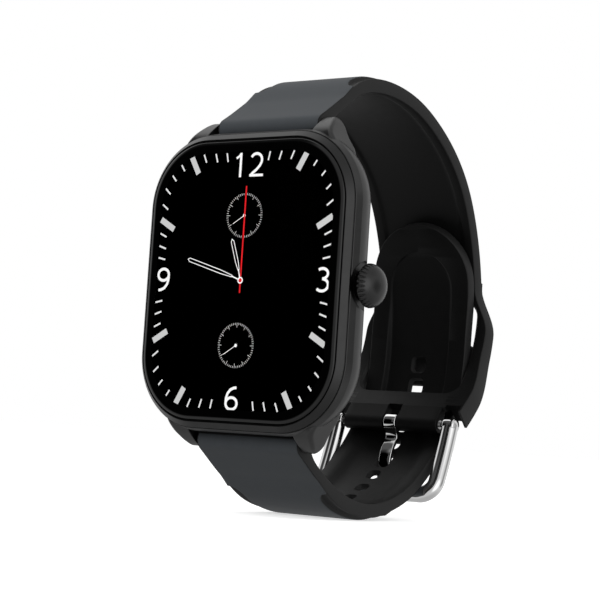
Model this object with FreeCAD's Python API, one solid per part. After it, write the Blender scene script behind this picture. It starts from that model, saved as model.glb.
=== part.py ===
import FreeCAD, Part
import math
import os

# Smartwatch, buckled. X points to the crown (3 o'clock), Z to 12 o'clock and Y from the glass to the wrist.
# Everything is drawn with Y = 0 on the front of the glass, then moved so that the wrist face is at Y = 0.
# All lengths are in millimetres.

os.makedirs("parts", exist_ok=True)
V = FreeCAD.Vector

WATCH_THICKNESS = 10.2
CASE_WIDTH, CASE_HEIGHT, CASE_CORNER = 39.8, 46.2, 11.6
CASE_FRONT, CASE_BACK = 1.5, 8.5
CASE_BACK_ROUNDING = 5.4
CASE_LIP = 0.35
GLASS_WIDTH, GLASS_HEIGHT, GLASS_CORNER = 36.7, 42.8, 9.9
LUG_GAP = 20.2
BAR_Y, BAR_Z = 6.1, 24.3
STRAP_HALF_WIDTH = 9.65
STRAP_THICKNESS = 2.2
PANEL_HALF_WIDTH, PANEL_RISE = 7.6, 0.5
TAIL_THICKNESS = 1.9
FLARE_HALF_WIDTH, WINDOW_HALF_WIDTH = 12.3, 10.4
RAIL_THICKNESS, BRIDGE_THICKNESS = (2.3, 3.5), 1.4
BUCKLE_BAR = (44.5, -19.5)
CROSSBAR = (40.3, -31.1)
BUCKLE_WIRE = 1.2
BUCKLE_ARM_X = 11.3
CROWN_Y, CROWN_Z, CROWN_RADIUS = 5.0, -0.3, 3.3
CROWN_SHOULDER, CROWN_DOME = 20.4, 2.35
HOLE_WIDTH, HOLE_LENGTH, HOLE_COUNT = 3.2, 3.0, 9
SCOOP_DEPTH, SCOOP_HALF_WIDTH = 0.95, 6.0
FIRST_HOLE, HOLE_PITCH = 0.3325, 0.0458
TONGUE_HOLE = FIRST_HOLE + 3 * HOLE_PITCH
TONGUE_THICKNESS, TONGUE_WIDTH = 0.7, 2.1

# Wrist-side lines of the two straps, as (Y, Z) points that smooth curves pass through.
BUCKLE_LINE = [(7.3, 25.3), (11.0, 27.7), (15.6, 30.7), (20.5, 31.9), (26.5, 31.8), (32.0, 30.6), (37.3, 28.2),
               (42.5, 24.6), (46.6, 20.2), (49.6, 14.8), (51.9, 8.0), (52.9, 1.5), (52.6, -3.5), (51.2, -8.2),
               (48.7, -12.5), (44.9, -16.5)]
HOLE_LINE = [(7.2, -25.3), (11.4, -28.2), (15.5, -30.6), (20.5, -32.3), (25.4, -32.8), (30.5, -32.0),
             (36.2, -29.6), (40.2, -26.6), (43.5, -23.5), (46.3, -20.0), (48.6, -16.3), (49.8, -12.6),
             (50.4, -8.0), (50.5, -3.4), (50.65, 1.5), (49.8, 7.4), (47.3, 15.0)]


def save(name, shape):
    """Write one node, moved so that the wrist face of the sensor window is at Y = 0."""
    shape = shape.copy()
    shape.translate(V(0, -WATCH_THICKNESS, 0))
    shape.exportStep("parts/" + name + ".step")


def slab(width, height, radius, front, back, x=0.0, z=0.0):
    """Rounded rectangle seen from the front, between two depths."""
    block = Part.makeBox(width, back - front, height, V(x - width / 2, front, z - height / 2))
    if radius <= 0:
        return block
    corners = [e for e in block.Edges if e.BoundBox.XLength < 1e-6 and e.BoundBox.ZLength < 1e-6]
    return block.makeFillet(radius, corners)


def edges_at(shape, depth):
    """Edges of a shape that lie wholly at one depth."""
    return [e for e in shape.Edges if abs(e.BoundBox.YMin - depth) < 1e-6 and abs(e.BoundBox.YMax - depth) < 1e-6]


def rod_x(radius, left, right, y, z):
    return Part.makeCylinder(radius, right - left, V(left, y, z), V(1, 0, 0))


def rod_y(radius, front, back, x, z):
    return Part.makeCylinder(radius, back - front, V(x, front, z), V(0, 1, 0))


def tube_x(outer, inner, left, right, y, z):
    return rod_x(outer, left, right, y, z).cut(rod_x(inner, left, right, y, z))


def join(shapes):
    whole = shapes[0].multiFuse(shapes[1:]) if len(shapes) > 1 else shapes[0]
    return whole.removeSplitter()


def smooth(points):
    curve = Part.BSplineCurve()
    curve.interpolate([V(0, y, z) for y, z in points])
    return curve


def along(line, fraction):
    """Point, direction and outward normal at a fraction of the parameter range of a strap line."""
    curve = smooth(line)
    at = curve.FirstParameter + fraction * (curve.LastParameter - curve.FirstParameter)
    point = curve.value(at)
    run = V(*curve.tangent(at)[0])
    out = V(0, run.z, -run.y)
    middle = V(0, 26.0, 0)
    if out.dot(point - middle) < 0:
        out = out * -1
    return point, run, out


def strip(line, low, high, half_width, start=0.0, end=1.0, steps=40):
    """Length of strap between two heights above its wrist-side line and two fractions of its length.

    The upper height may be a pair, for a strap that gets thicker along the way.
    """
    frames = [along(line, start + (end - start) * i / steps) for i in range(steps + 1)]
    high_start, high_end = high if isinstance(high, tuple) else (high, high)
    heights = [high_start + (high_end - high_start) * i / steps for i in range(steps + 1)]
    lower = Part.BSplineCurve()
    lower.interpolate([p + n * low for p, t, n in frames])
    upper = Part.BSplineCurve()
    upper.interpolate([p + n * h for (p, t, n), h in zip(frames, heights)])
    first, last = lower.value(lower.FirstParameter), lower.value(lower.LastParameter)
    over_first, over_last = upper.value(upper.FirstParameter), upper.value(upper.LastParameter)
    outline = Part.Wire([lower.toShape(), Part.makeLine(last, over_last), upper.toShape(),
                         Part.makeLine(over_first, first)])
    solid = Part.Face(outline).extrude(V(2 * half_width, 0, 0))
    solid.translate(V(-half_width, 0, 0))
    return solid


def round_off(solid, radius, line, fraction):
    """Round the two corners that cross the strap at one fraction of its length."""
    point, run, out = along(line, fraction)
    chosen = []
    for edge in solid.Edges:
        ends = [v.Point for v in edge.Vertexes]
        if len(ends) == 2 and abs(ends[0].x - ends[1].x) < 1e-6:
            if all(abs((p - point).dot(run)) < 0.02 for p in ends):
                chosen.append(edge)
    return solid.makeFillet(radius, chosen)


def prism_through(line, fraction, width, length, low, high, radius):
    """Rounded block standing square to a strap, for a hole through it."""
    point, run, out = along(line, fraction)
    block = Part.makeBox(width, high - low, length, V(-width / 2, low, -length / 2))
    corners = [e for e in block.Edges if e.BoundBox.XLength < 1e-6 and e.BoundBox.ZLength < 1e-6]
    block = block.makeFillet(radius, corners)
    turn = math.degrees(math.atan2(out.z, out.y))
    block.rotate(V(0, 0, 0), V(1, 0, 0), turn)
    block.translate(point)
    return block


# ---------------------------------------------------------------- case

def lug(side, end):
    """One lug fin; side is +1 or -1 in X, end is +1 at 12 o'clock and -1 at 6 o'clock."""
    inner = LUG_GAP / 2
    slope = smooth([(1.95, 21.6), (2.4, 22.8), (3.7, 24.1), (5.1, 25.1), (6.1, 25.4), (6.9, 24.9), (7.3, 23.6),
                    (7.45, 20.5)])
    back = [V(0, 7.45, 20.5), V(0, 7.2, 17.5), V(0, 1.95, 17.5), V(0, 1.95, 21.6)]
    outline = Part.Wire([slope.toShape()] + Part.makePolygon(back).Edges)
    fin = Part.Face(outline).extrude(V(7.5, 0, 0))
    fin.translate(V(inner, 0, 0))
    flank = Part.BSplineCurve()
    flank.interpolate([V(15.6, 0, 18.6), V(15.0, 0, 20.2), V(14.3, 0, 21.5), V(13.6, 0, 22.6), V(13.1, 0, 23.6),
                       V(12.6, 0, 24.5), V(11.9, 0, 25.3), V(10.6, 0, 25.9)])
    rest = [V(10.6, 0, 25.9), V(inner, 0, 25.9), V(inner, 0, 16), V(15.6, 0, 16), V(15.6, 0, 18.6)]
    plan = Part.Wire([flank.toShape()] + Part.makePolygon(rest).Edges)
    fin = fin.common(Part.Face(plan).extrude(V(0, 12, 0)))
    rims = [e for e in fin.Edges if e.BoundBox.XMin > inner + 0.2 and e.BoundBox.ZMin > 18.0]
    fin = fin.makeFillet(0.7, rims)
    if end < 0:
        fin = fin.mirror(V(0, 0, 0), V(0, 0, 1))
    if side < 0:
        fin = fin.mirror(V(0, 0, 0), V(1, 0, 0))
    return fin


shell = slab(CASE_WIDTH, CASE_HEIGHT, CASE_CORNER, CASE_FRONT, CASE_BACK)
shell = shell.makeFillet(CASE_BACK_ROUNDING, edges_at(shell, CASE_BACK))
shell = shell.makeChamfer(1.2, CASE_LIP, edges_at(shell, CASE_FRONT))
for end in (1, -1):
    shell = shell.cut(rod_x(2.15, -LUG_GAP / 2, LUG_GAP / 2, BAR_Y, end * BAR_Z))
case = join([shell] + [lug(side, end) for side in (1, -1) for end in (1, -1)])
case = case.cut(slab(35.0, 41.2, 9.3, 0, 4.5))
case = case.cut(slab(31.6, 37.8, 7.6, 4.4, 6.7))
case = case.cut(slab(24.4, 31.0, 4.2, 6.6, 9.0))
case = case.cut(slab(27.7, 34.3, 5.7, 7.5, 9.0))
gasket_ring = slab(26.9, 33.5, 5.3, 7.1, 7.5).cut(slab(25.7, 32.3, 4.7, 7.1, 7.5))
case = case.cut(gasket_ring)
SCREWS = [(sx * 10.6, sz * 13.9) for sx in (1, -1) for sz in (1, -1)]
case = join([case] + [rod_y(1.5, 5.2, 7.1, x, z) for x, z in SCREWS])
for x, z in SCREWS:
    case = case.cut(rod_y(0.6, 5.2, 7.6, x, z))
for end in (1, -1):
    case = case.cut(rod_x(0.45, -11.6, 11.6, BAR_Y, end * BAR_Z))
case = case.cut(rod_x(1.6, 15.0, 20.5, CROWN_Y, CROWN_Z))
case = case.cut(rod_x(CROWN_RADIUS + 0.35, 18.7, 21.0, CROWN_Y, CROWN_Z))
SPEAKER_PORTS = [-10.9, -9.4, -7.9]
for z in SPEAKER_PORTS:
    case = case.cut(rod_x(0.45, -21, -15, 5.3, z))
case = case.cut(rod_x(0.35, -21, -15, 5.3, 12.0))
save("case_body", case)

bezel = slab(38.9, 45.2, 11.2, 0.35, CASE_FRONT)
bezel = bezel.makeChamfer(0.85, edges_at(bezel, 0.35))
bezel = bezel.cut(slab(GLASS_WIDTH + 0.1, GLASS_HEIGHT + 0.1, GLASS_CORNER + 0.05, 0, 2))
save("front_bezel", bezel)

glass = slab(GLASS_WIDTH, GLASS_HEIGHT, GLASS_CORNER, 0, 1.0)
glass = glass.makeChamfer(0.45, 1.15, edges_at(glass, 0))
save("cover_glass", glass)
save("glass_gasket", slab(36.5, 42.6, 9.8, 1.0, CASE_FRONT).cut(slab(35.2, 41.4, 9.4, 0.9, 1.6)))
save("display_panel", slab(33.2, 39.6, 8.2, 1.0, 1.8))
save("display_backplate", slab(33.6, 40.0, 8.4, 1.8, 2.0))
frame = slab(34.6, 40.8, 9.1, 2.0, 4.5).cut(slab(32.4, 38.6, 8.0, 2.6, 4.6))
frame = frame.cut(slab(7.0, 3.0, 0.5, 1.9, 2.7, 8.0, -17.6))
for z in (-14.0, 14.6):
    frame = frame.cut(slab(3.0, 3.0, 0.4, 1.9, 2.7, -11.0, z))
frame = frame.cut(rod_x(2.2, 15.0, 18.0, CROWN_Y, CROWN_Z))
save("inner_frame", frame)

ribbon = Part.makeBox(5.0, 0.2, 2.0, V(5.5, 2.0, -18.6)).fuse(Part.makeBox(5.0, 3.9, 0.2, V(5.5, 2.0, -16.8)))
save("display_flex", ribbon)

# ---------------------------------------------------------------- boards, battery and modules

board = slab(31.2, 37.4, 7.4, 5.9, 6.7)
for x, z in SCREWS:
    board = board.cut(rod_y(1.75, 5.8, 6.8, x, z))
board = board.cut(Part.makeBox(3.0, 2.0, 4.2, V(14.4, 5.5, CROWN_Z - 2.1)))
save("main_board", board)
save("processor_shield", slab(10.0, 6.2, 0.6, 4.5, 5.9, 3.5, 14.7))
save("memory_chip", slab(4.2, 5.0, 0.2, 5.0, 5.9, -6.0, 14.2))
antenna = Part.makeBox(6.4, 0.3, 1.2, V(-5.2, 4.2, 17.4)).fuse(Part.makeBox(1.0, 1.7, 1.2, V(-5.2, 4.2, 17.4)))
save("bluetooth_antenna", antenna.removeSplitter())
save("battery", slab(23.0, 16.6, 1.6, 2.6, 5.7, -3.4, 2.2))
save("battery_tab", slab(6.0, 0.9, 0.2, 3.4, 5.9, -3.4, 10.95))

MOTOR = (3.5, -12.7)
can = rod_y(4.0, 3.2, 5.9, *MOTOR).cut(rod_y(3.7, 3.45, 5.65, *MOTOR))
can = can.fuse(rod_y(0.4, 3.45, 5.65, *MOTOR))
save("haptic_can", can.removeSplitter())
rotor = rod_y(3.3, 3.8, 5.3, *MOTOR).cut(Part.makeBox(8, 4, 8, V(MOTOR[0] - 4, 2.5, MOTOR[1] + 0.9)))
rotor = rotor.cut(rod_y(0.44, 3.5, 5.6, *MOTOR))
save("haptic_rotor", rotor)

SPEAKER = (-12.1, -9.4)
basket = slab(5.0, 5.6, 0.6, 3.4, 5.9, *SPEAKER).cut(slab(4.2, 4.8, 0.4, 3.7, 5.5, *SPEAKER))
basket = basket.cut(slab(3.0, 3.6, 0.4, 3.3, 3.8, *SPEAKER))
basket = basket.cut(rod_x(0.3, -15.2, -14.0, 5.0, SPEAKER[1]))
save("speaker_basket", basket)
cone = slab(3.6, 4.2, 0.4, 4.1, 4.3, *SPEAKER)
cone = cone.fuse(rod_y(1.2, 4.3, 5.1, *SPEAKER).cut(rod_y(1.0, 4.3, 5.1, *SPEAKER)))
save("speaker_cone", cone.removeSplitter())
save("microphone", slab(2.2, 2.4, 0.2, 4.9, 5.9, -13.3, 12.0))

# ---------------------------------------------------------------- crown

tube = tube_x(1.6, 0.98, 15.9, 18.7, CROWN_Y, CROWN_Z)
save("crown_tube", tube)
shoulder = V(CROWN_SHOULDER, CROWN_Y + CROWN_RADIUS, CROWN_Z)
crest = V(CROWN_SHOULDER + CROWN_DOME, CROWN_Y, CROWN_Z)
dome_arc = Part.Ellipse(shoulder, crest, V(CROWN_SHOULDER, CROWN_Y, CROWN_Z))
dome_arc = Part.Arc(dome_arc, 0, math.pi / 2).toShape()
back = [crest, V(20.1, CROWN_Y, CROWN_Z), V(20.1, CROWN_Y + CROWN_RADIUS - 0.3, CROWN_Z), shoulder]
half_knob = Part.Face(Part.Wire(Part.__sortEdges__([dome_arc] + Part.makePolygon(back).Edges)))
knob = half_knob.revolve(crest, V(1, 0, 0), 360)
knob = knob.fuse(rod_x(2.4, 19.25, 20.1, CROWN_Y, CROWN_Z)).removeSplitter()
knob = knob.cut(rod_x(0.7, 19.0, 21.8, CROWN_Y, CROWN_Z))
TEETH = 28
notches = []
for i in range(TEETH):
    notch = Part.makeCylinder(0.17, 1.86, V(20.0, 3.42, 0), V(1.8, -0.47, 0))
    notch.rotate(V(0, 0, 0), V(1, 0, 0), 360 * (i + 0.5) / TEETH)
    notch.translate(V(0, CROWN_Y, CROWN_Z))
    notches.append(notch)
knob = knob.cut(Part.makeCompound(notches))
save("crown_knob", knob)
shaft = join([rod_x(0.92, 15.9, 19.25, CROWN_Y, CROWN_Z), rod_x(0.7, 19.25, 21.8, CROWN_Y, CROWN_Z),
              rod_x(0.6, 14.65, 15.9, CROWN_Y, CROWN_Z)])
shaft = shaft.cut(tube_x(1.2, 0.66, 17.2, 17.8, CROWN_Y, CROWN_Z))
save("crown_shaft", shaft)
seal = Part.makeTorus(0.80, 0.135, V(17.5, CROWN_Y, CROWN_Z), V(1, 0, 0))
save("crown_oring", seal)
clip = tube_x(1.3, 0.6, 15.4, 15.8, CROWN_Y, CROWN_Z)
clip = clip.cut(Part.makeBox(1.0, 0.9, 2.0, V(15.1, CROWN_Y - 0.45, CROWN_Z - 2.1)))
save("crown_clip", clip)
switch = slab(2.6, 4.4, 0.2, 3.6, 5.9, 12.0, CROWN_Z).cut(rod_x(0.75, 12.4, 13.4, CROWN_Y - 0.1, CROWN_Z))
save("crown_switch", switch)
plunger = rod_x(0.65, 12.9, 14.6, CROWN_Y - 0.1, CROWN_Z)
save("crown_plunger", plunger)

# ---------------------------------------------------------------- back cover and sensor

WINDOW_RADIUS = 9.5
cover = slab(27.5, 34.1, 5.6, 7.5, 8.9)
cover = cover.makeFillet(0.4, edges_at(cover, 8.9))
dome = Part.makeCone(12.6, 11.0, 1.1, V(0, 8.9, 0), V(0, 1, 0))
cover = join([cover, dome])
cover = cover.cut(rod_y(WINDOW_RADIUS, 9.0, 10.1, 0, 0)).cut(rod_y(8.3, 7.4, 9.2, 0, 0))
PADS = [-2.5, 2.5]
for x in PADS:
    cover = cover.cut(rod_y(0.9, 7.4, 9.2, x, -14.6))
MAGNETS = [-6.4, 6.4]
for x in MAGNETS:
    cover = cover.cut(rod_y(1.6, 7.4, 8.3, x, -14.6))
for x, z in SCREWS:
    cover = cover.cut(rod_y(0.7, 7.4, 9.0, x, z)).cut(rod_y(1.25, 8.2, 9.2, x, z))
save("back_cover", cover)
save("back_gasket", gasket_ring)
window = rod_y(WINDOW_RADIUS, 9.0, WATCH_THICKNESS, 0, 0)
window = window.makeFillet(0.4, edges_at(window, WATCH_THICKNESS))
save("sensor_window", window)
save("sensor_board", rod_y(10.4, 6.9, 7.5, 0, 0))
baffle = rod_y(8.2, 7.5, 9.0, 0, 0).cut(rod_y(7.7, 7.4, 9.1, 0, 0)).fuse(
    rod_y(3.4, 7.5, 9.0, 0, 0).cut(rod_y(3.0, 7.4, 9.1, 0, 0)))
save("optical_baffle", baffle)
save("sensor_leds", Part.makeCompound([slab(1.3, 1.3, 0.1, 7.5, 8.1, 0, z) for z in (-1.4, 0.2, 1.8)]))
DIODES = [(5.5 * math.cos(math.radians(a)), 5.5 * math.sin(math.radians(a))) for a in range(45, 360, 90)]
save("photodiodes", Part.makeCompound([slab(2.2, 2.2, 0.1, 7.5, 8.0, x, z) for x, z in DIODES]))
pads = [join([rod_y(0.9, 8.0, 9.0, x, -14.6), rod_y(0.4, 6.7, 8.0, x, -14.6)]) for x in PADS]
save("charging_contacts", Part.makeCompound(pads))
save("charging_magnets", Part.makeCompound([rod_y(1.6, 7.5, 8.3, x, -14.6) for x in MAGNETS]))
screws = []
for x, z in SCREWS:
    screw = join([rod_y(1.15, 8.2, 8.8, x, z), rod_y(0.6, 5.3, 8.2, x, z)])
    for turn in (0, 90):
        slot = Part.makeBox(1.4, 0.4, 0.3, V(-0.7, 8.5, -0.15))
        slot.rotate(V(0, 0, 0), V(0, 1, 0), turn)
        slot.translate(V(x, 0, z))
        screw = screw.cut(slot)
    screws.append(screw)
save("back_screws", Part.makeCompound(screws))

# ---------------------------------------------------------------- spring bars at the lugs

def lug_bar(prefix, end):
    """Quick-release spring bar: tube, fixed pin, sliding pin with its finger knob, and spring."""
    z = end * BAR_Z
    save(prefix + "_bar_tube", tube_x(0.75, 0.5, -8.8, 7.0, BAR_Y, z).cut(
        Part.makeBox(3.0, 2.0, 0.7, V(2.6, BAR_Y, z - 0.35))))
    save(prefix + "_fixed_pin", join([rod_x(0.5, -8.8, -6.5, BAR_Y, z), rod_x(0.75, -9.5, -8.8, BAR_Y, z),
                                      rod_x(0.4, -11.3, -9.5, BAR_Y, z)]))
    knob = Part.makeCylinder(0.3, 2.6, V(5.2, BAR_Y, z), V(0, 1, 0))
    save(prefix + "_release_pin", join([rod_x(0.46, 2.2, 9.5, BAR_Y, z), rod_x(0.75, 8.8, 9.5, BAR_Y, z),
                                        rod_x(0.4, 9.5, 11.3, BAR_Y, z), knob,
                                        Part.makeCylinder(0.55, 0.5, V(5.2, BAR_Y + 2.4, z), V(0, 1, 0))]))
    save(prefix + "_bar_spring", coil(0.36, 0.07, -6.5, 0.4, 14, BAR_Y, z))


def coil(radius, wire, left, right, turns, y, z):
    """Helical spring along X."""
    length = right - left - 2 * wire
    helix = Part.makeHelix(length / turns, length, radius)
    start = V(radius, 0, 0)
    profile = Part.Wire(Part.makeCircle(wire, start, V(0, 1, 0)))
    spring = Part.Wire(helix).makePipeShell([profile], True, True)
    spring.rotate(V(0, 0, 0), V(0, 1, 0), 90)
    spring.translate(V(left + wire, y, z))
    return spring


lug_bar("upper", 1)
lug_bar("lower", -1)

# ---------------------------------------------------------------- straps

def knob_slot(end):
    """Opening on the wrist side of a strap end for the finger knob of the spring bar."""
    return Part.makeBox(3.2, 4.0, 1.6, V(2.8, BAR_Y, end * BAR_Z - 0.8))


def lug_end(end):
    """Sleeve round the spring bar and the web that joins it to the strap."""
    z = end * BAR_Z
    sleeve = rod_x(1.75, -STRAP_HALF_WIDTH, STRAP_HALF_WIDTH, BAR_Y, z)
    web = Part.makePolygon([V(0, BAR_Y - 1.3, z + end * 1.17), V(0, BAR_Y + 1.2, z - end * 1.27),
                            V(0, 8.1, end * 25.85), V(0, 6.9, end * 27.1), V(0, BAR_Y - 1.3, z + end * 1.17)])
    web = Part.Face(web).extrude(V(2 * STRAP_HALF_WIDTH, 0, 0))
    web.translate(V(-STRAP_HALF_WIDTH, 0, 0))
    return sleeve.fuse(web)


FLARE_START, WINDOW_TOP, WINDOW_BOTTOM = 0.70, 0.79, 0.956
BARREL_RADIUS, BARREL_HALF_WIDTH = 1.45, 9.3
upper = [lug_end(1),
         strip(BUCKLE_LINE, 0, STRAP_THICKNESS, STRAP_HALF_WIDTH, 0.0, FLARE_START + 0.04),
         strip(BUCKLE_LINE, STRAP_THICKNESS - 0.2, STRAP_THICKNESS + PANEL_RISE, PANEL_HALF_WIDTH, 0.07, 0.72)]
flare = strip(BUCKLE_LINE, 0, RAIL_THICKNESS, FLARE_HALF_WIDTH, FLARE_START, 1.0)
inner_x, outer_x = STRAP_HALF_WIDTH, FLARE_HALF_WIDTH
plan = [V(inner_x, 0, 14), V(inner_x, 0, 5.5), V(outer_x, 0, -1.5), V(outer_x, 0, -25)]
plan = plan + [V(-p.x, 0, p.z) for p in reversed(plan)]
flare = flare.common(Part.Face(Part.makePolygon(plan + plan[:1])).extrude(V(0, 60, 0)))
channel = strip(BUCKLE_LINE, BRIDGE_THICKNESS, 6, WINDOW_HALF_WIDTH, WINDOW_BOTTOM - 0.04, 1.0)
opening = strip(BUCKLE_LINE, -1, 6, WINDOW_HALF_WIDTH, WINDOW_TOP, WINDOW_BOTTOM)
opening = round_off(opening, 2.2, BUCKLE_LINE, WINDOW_TOP)
opening = round_off(opening, 2.2, BUCKLE_LINE, WINDOW_BOTTOM)
flare = flare.cut(opening).cut(channel)
bar_y, bar_z = BUCKLE_BAR
bar = V(0, bar_y, bar_z)
end_point, end_run, end_out = along(BUCKLE_LINE, 1.0)
barrel = rod_x(BARREL_RADIUS, -BARREL_HALF_WIDTH, BARREL_HALF_WIDTH, bar_y, bar_z)
near = end_point - end_run * 0.6
far = near + end_out * BRIDGE_THICKNESS
neck = Part.makePolygon([near, bar - end_out * (BARREL_RADIUS - 0.01), bar + end_out * (BARREL_RADIUS - 0.6),
                         far, near])
neck = Part.Face(neck).extrude(V(2 * BARREL_HALF_WIDTH, 0, 0))
neck.translate(V(-BARREL_HALF_WIDTH, 0, 0))
buckle_strap = join(upper + [flare, barrel, neck])
buckle_strap = buckle_strap.cut(rod_x(0.76, -10, 10, bar_y, bar_z))
tongue_gap = Part.makeBox(2.8, 6.0, 4.9, V(-1.4, -3.0, -2.6))
tongue_gap.rotate(V(0, 0, 0), V(1, 0, 0), math.degrees(math.atan2(end_out.z, end_out.y)))
tongue_gap.translate(bar)
buckle_strap = buckle_strap.cut(tongue_gap)
buckle_strap = buckle_strap.cut(rod_x(0.76, -12, 12, BAR_Y, BAR_Z)).cut(knob_slot(1))
save("buckle_strap", buckle_strap)

lower = [lug_end(-1),
         strip(HOLE_LINE, 0, STRAP_THICKNESS, STRAP_HALF_WIDTH, 0.0, 0.31),
         strip(HOLE_LINE, 0, TAIL_THICKNESS, STRAP_HALF_WIDTH, 0.30, 1.0),
         strip(HOLE_LINE, 1.2, STRAP_THICKNESS + PANEL_RISE, PANEL_HALF_WIDTH, 0.07, 0.29)]
hole_strap = join(lower)
TIP_Z = 14.6
round_end = Part.Arc(V(STRAP_HALF_WIDTH, 0, TIP_Z - STRAP_HALF_WIDTH), V(0, 0, TIP_Z),
                     V(-STRAP_HALF_WIDTH, 0, TIP_Z - STRAP_HALF_WIDTH)).toShape()
keep = [V(-STRAP_HALF_WIDTH, 0, TIP_Z - STRAP_HALF_WIDTH), V(-STRAP_HALF_WIDTH, 0, -40),
        V(STRAP_HALF_WIDTH, 0, -40), V(STRAP_HALF_WIDTH, 0, TIP_Z - STRAP_HALF_WIDTH)]
keep = Part.Face(Part.Wire([round_end] + Part.makePolygon(keep).Edges)).extrude(V(0, 60, 0))
hole_strap = hole_strap.common(keep)
hole_strap = hole_strap.cut(strip(HOLE_LINE, -1.0, SCOOP_DEPTH, SCOOP_HALF_WIDTH, 0.31, 0.93))
for i in range(HOLE_COUNT):
    hole_strap = hole_strap.cut(prism_through(HOLE_LINE, FIRST_HOLE + i * HOLE_PITCH, HOLE_WIDTH, HOLE_LENGTH,
                                              -1.0, 4.0, 0.8))
hole_strap = hole_strap.cut(rod_x(0.76, -12, 12, BAR_Y, -BAR_Z)).cut(knob_slot(-1))
save("hole_strap", hole_strap)

# ---------------------------------------------------------------- buckle

save("buckle_bar_tube", tube_x(0.75, 0.5, -8.6, 8.6, bar_y, bar_z))
pins = [join([rod_x(0.48, 7.0, 8.6, bar_y, bar_z), rod_x(0.75, 8.6, 9.3, bar_y, bar_z),
              rod_x(0.4, 9.3, 11.5, bar_y, bar_z)])]
pins.append(pins[0].mirror(V(0, 0, 0), V(1, 0, 0)))
save("buckle_bar_pins", Part.makeCompound(pins))
save("buckle_bar_spring", coil(0.36, 0.07, -7.0, 7.0, 24, bar_y, bar_z))

# The frame is one bent wire: two bowed arms, two round corners and the crossbar.
cross_y, cross_z = CROSSBAR
bow = Part.Arc(V(0, bar_y, bar_z), V(0, 42.65, -25.3), V(0, cross_y, cross_z))
CORNER = 2.6
arc_edge = bow.toShape()
arm_length = arc_edge.Length - CORNER
last = arc_edge.getParameterByLength(arm_length)
first = arc_edge.getParameterByLength(0.0)
arm_point = arc_edge.valueAt(last)
arm_run = arc_edge.tangentAt(last)
if arm_run.z > 0:
    arm_run = arm_run * -1
middle = arc_edge.valueAt(arc_edge.getParameterByLength(arm_length / 2))
start_point = arc_edge.valueAt(first)


def shifted(point, x):
    return V(x, point.y, point.z)


half = math.sqrt(0.5)
arms = []
for side in (1, -1):
    x = side * BUCKLE_ARM_X
    arms.append(Part.Arc(shifted(start_point, x), shifted(middle, x), shifted(arm_point, x)).toShape())
corners = []
for side in (1, -1):
    centre_x = side * (BUCKLE_ARM_X - CORNER)
    a = shifted(arm_point, side * BUCKLE_ARM_X)
    b = shifted(arm_point, centre_x) + V(side * CORNER * half, 0, 0) + arm_run * (CORNER * half)
    c = shifted(arm_point + arm_run * CORNER, centre_x)
    corners.append(Part.Arc(a, b, c).toShape())
cross_edge = Part.makeLine(corners[0].Vertexes[-1].Point, corners[1].Vertexes[-1].Point)
path = Part.Wire(Part.__sortEdges__([arms[0], corners[0], cross_edge, corners[1], arms[1]]))
section = Part.Wire(Part.makeCircle(BUCKLE_WIRE, shifted(start_point, BUCKLE_ARM_X), arc_edge.tangentAt(first)))
buckle_frame = path.makePipeShell([section], True, False)
for side in (1, -1):
    eye = rod_x(1.35, min(side * 10.15, side * 12.45), max(side * 10.15, side * 12.45), bar_y, bar_z)
    buckle_frame = buckle_frame.fuse(eye)
buckle_frame = buckle_frame.removeSplitter().cut(rod_x(0.45, -11.6, 11.6, bar_y, bar_z))
save("buckle_frame", buckle_frame)

# The tongue wraps the bar, then bends out through one hole and lies over the crossbar.
TONGUE_ROUTE = [(4.55, -1.2), (4.0, -0.4), (2.9, -0.15), (1.75, 0.2), (0.5, 0.95), (-0.7, 2.0), (-2.0, 3.3),
                (-3.4, 4.4), (-5.2, 5.05), (-7.6, 4.8)]
hole_point, hole_run, hole_out = along(HOLE_LINE, TONGUE_HOLE)
route = [hole_point + hole_run * s + hole_out * d for s, d in TONGUE_ROUTE]
WRAP = 0.78 + TONGUE_THICKNESS / 2
route.insert(0, bar - hole_run * (WRAP + 0.02))


def ribbon(points, thickness, width):
    """Flat strip bent along a smooth line in the YZ plane."""
    curve = Part.BSplineCurve()
    curve.interpolate(points)
    steps = 40
    span = curve.LastParameter - curve.FirstParameter
    sides = ([], [])
    for i in range(steps + 1):
        at = curve.FirstParameter + span * i / steps
        run = V(*curve.tangent(at)[0])
        across = V(0, run.z, -run.y) * (thickness / 2)
        sides[0].append(curve.value(at) + across)
        sides[1].append(curve.value(at) - across)
    lines = []
    for side in sides:
        edge = Part.BSplineCurve()
        edge.interpolate(side)
        lines.append(edge.toShape())
    outline = Part.Wire([lines[0], Part.makeLine(sides[0][-1], sides[1][-1]), lines[1],
                         Part.makeLine(sides[1][0], sides[0][0])])
    solid = Part.Face(outline).extrude(V(width, 0, 0))
    solid.translate(V(-width / 2, 0, 0))
    return solid


tongue = ribbon(route, TONGUE_THICKNESS, TONGUE_WIDTH)
wrap = tube_x(0.78 + TONGUE_THICKNESS, 0.78, -TONGUE_WIDTH / 2, TONGUE_WIDTH / 2, bar_y, bar_z)
save("buckle_tongue", join([tongue, wrap]))
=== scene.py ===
import math

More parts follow.
